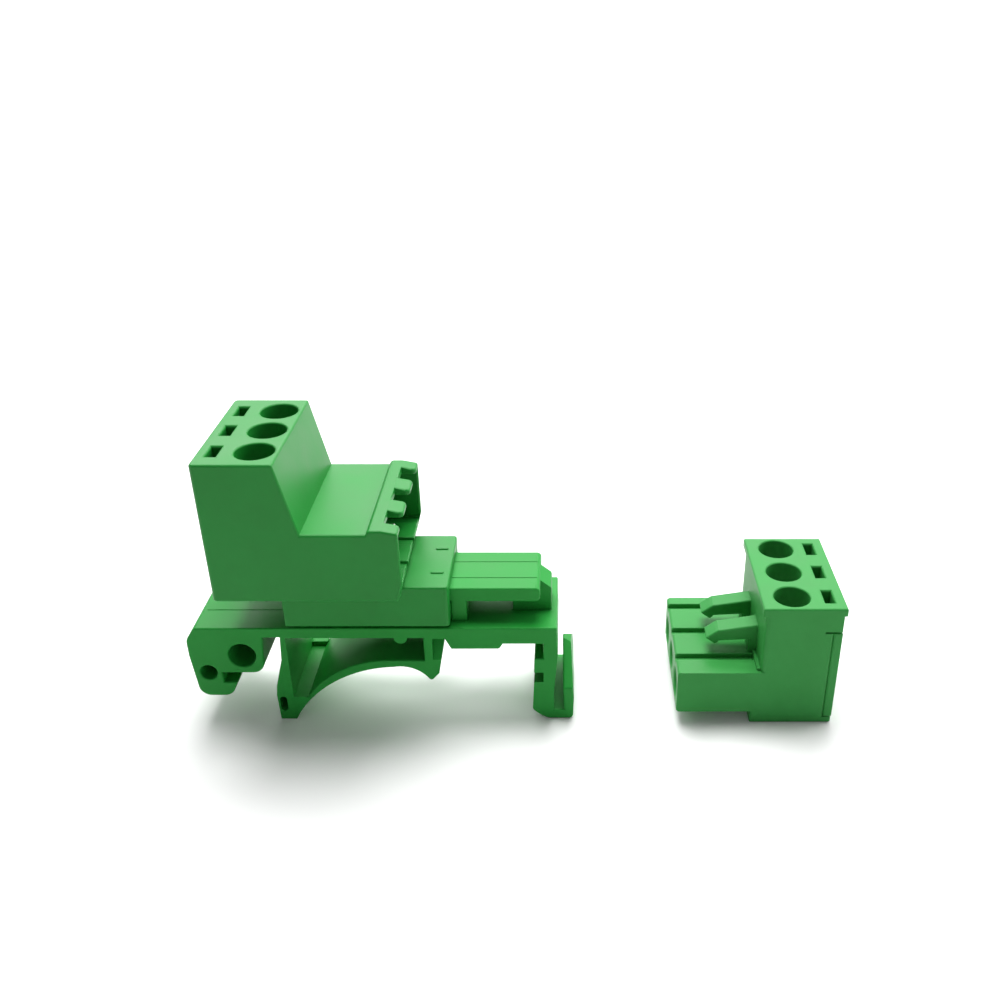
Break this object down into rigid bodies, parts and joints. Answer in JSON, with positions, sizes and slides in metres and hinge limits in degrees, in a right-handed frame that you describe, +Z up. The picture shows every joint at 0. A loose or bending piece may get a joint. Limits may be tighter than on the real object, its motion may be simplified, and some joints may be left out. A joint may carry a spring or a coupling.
{
  "type": "pluggable terminal block",
  "caption": "Green screw-clamp header with an open pin socket, carried on a clip-on foot for 35 mm rail, and its free mating plug with latch hooks and clamp screws.",
  "frame": {"origin": "on the table, below the middle of the box round both halves", "axes": "+X from the foot's end block to the plug's wire side, +Y across the poles to the far side, +Z up"},
  "size_m": [0.0708, 0.0174, 0.033],
  "materials": {
    "green_plastic": "satin moulded",
    "tinned_contact": "tin plated",
    "plated_cage": "zinc plated",
    "plated_screw": "zinc plated"
  },
  "bodies": {
    "block": {"rail_foot": "green_plastic", "carriage": "green_plastic", "header_housing": "green_plastic", "header_cover": "green_plastic", "plug_housing": "green_plastic", "plug_cover": "green_plastic", "header_pin_1": "tinned_contact", "header_pin_2": "tinned_contact", "header_pin_3": "tinned_contact", "plug_contact_1": "tinned_contact", "plug_contact_2": "tinned_contact", "plug_contact_3": "tinned_contact"},
    "header_cage_1_body": {"header_cage_1": "plated_cage"},
    "header_screw_1_body": {"header_screw_1": "plated_screw"},
    "header_cage_2_body": {"header_cage_2": "plated_cage"},
    "header_screw_2_body": {"header_screw_2": "plated_screw"},
    "header_cage_3_body": {"header_cage_3": "plated_cage"},
    "header_screw_3_body": {"header_screw_3": "plated_screw"},
    "plug_cage_1_body": {"plug_cage_1": "plated_cage"},
    "plug_screw_1_body": {"plug_screw_1": "plated_screw"},
    "plug_cage_2_body": {"plug_cage_2": "plated_cage"},
    "plug_screw_2_body": {"plug_screw_2": "plated_screw"},
    "plug_cage_3_body": {"plug_cage_3": "plated_cage"},
    "plug_screw_3_body": {"plug_screw_3": "plated_screw"}
  },
  "joints": [
    {"name": "header_screw_1_turn", "type": "hinge", "parent": "block", "child": "header_screw_1_body", "pos_m": [-0.02491, -0.00552, 0.02809], "axis": [0, 0, -1], "range_deg": [0, 1800]},
    {"name": "header_cage_1_lift", "type": "slide", "parent": "block", "child": "header_cage_1_body", "axis": [0, 0, 1], "range_m": [0, 0.0025]},
    {"name": "header_screw_2_turn", "type": "hinge", "parent": "block", "child": "header_screw_2_body", "pos_m": [-0.02491, -0.00044, 0.02809], "axis": [0, 0, -1], "range_deg": [0, 1800]},
    {"name": "header_cage_2_lift", "type": "slide", "parent": "block", "child": "header_cage_2_body", "axis": [0, 0, 1], "range_m": [0, 0.0025]},
    {"name": "header_screw_3_turn", "type": "hinge", "parent": "block", "child": "header_screw_3_body", "pos_m": [-0.02491, 0.00464, 0.02809], "axis": [0, 0, -1], "range_deg": [0, 1800]},
    {"name": "header_cage_3_lift", "type": "slide", "parent": "block", "child": "header_cage_3_body", "axis": [0, 0, 1], "range_m": [0, 0.0025]},
    {"name": "plug_screw_1_turn", "type": "hinge", "parent": "block", "child": "plug_screw_1_body", "pos_m": [0.02985, -0.00396, 0.0105], "axis": [0, 0, -1], "range_deg": [0, 1800]},
    {"name": "plug_cage_1_lift", "type": "slide", "parent": "block", "child": "plug_cage_1_body", "axis": [0, 0, 1], "range_m": [0, 0.0025]},
    {"name": "plug_screw_2_turn", "type": "hinge", "parent": "block", "child": "plug_screw_2_body", "pos_m": [0.02985, 0.00112, 0.0105], "axis": [0, 0, -1], "range_deg": [0, 1800]},
    {"name": "plug_cage_2_lift", "type": "slide", "parent": "block", "child": "plug_cage_2_body", "axis": [0, 0, 1], "range_m": [0, 0.0025]},
    {"name": "plug_screw_3_turn", "type": "hinge", "parent": "block", "child": "plug_screw_3_body", "pos_m": [0.02985, 0.0062, 0.0105], "axis": [0, 0, -1], "range_deg": [0, 1800]},
    {"name": "plug_cage_3_lift", "type": "slide", "parent": "block", "child": "plug_cage_3_body", "axis": [0, 0, 1], "range_m": [0, 0.0025]}
  ],
  "couplings": [
    {"joint": "header_screw_1_turn", "follows": "header_cage_1_lift", "rad_per_m": 12566},
    {"joint": "header_screw_2_turn", "follows": "header_cage_2_lift", "rad_per_m": 12566},
    {"joint": "header_screw_3_turn", "follows": "header_cage_3_lift", "rad_per_m": 12566},
    {"joint": "plug_screw_1_turn", "follows": "plug_cage_1_lift", "rad_per_m": 12566},
    {"joint": "plug_screw_2_turn", "follows": "plug_cage_2_lift", "rad_per_m": 12566},
    {"joint": "plug_screw_3_turn", "follows": "plug_cage_3_lift", "rad_per_m": 12566}
  ]
}
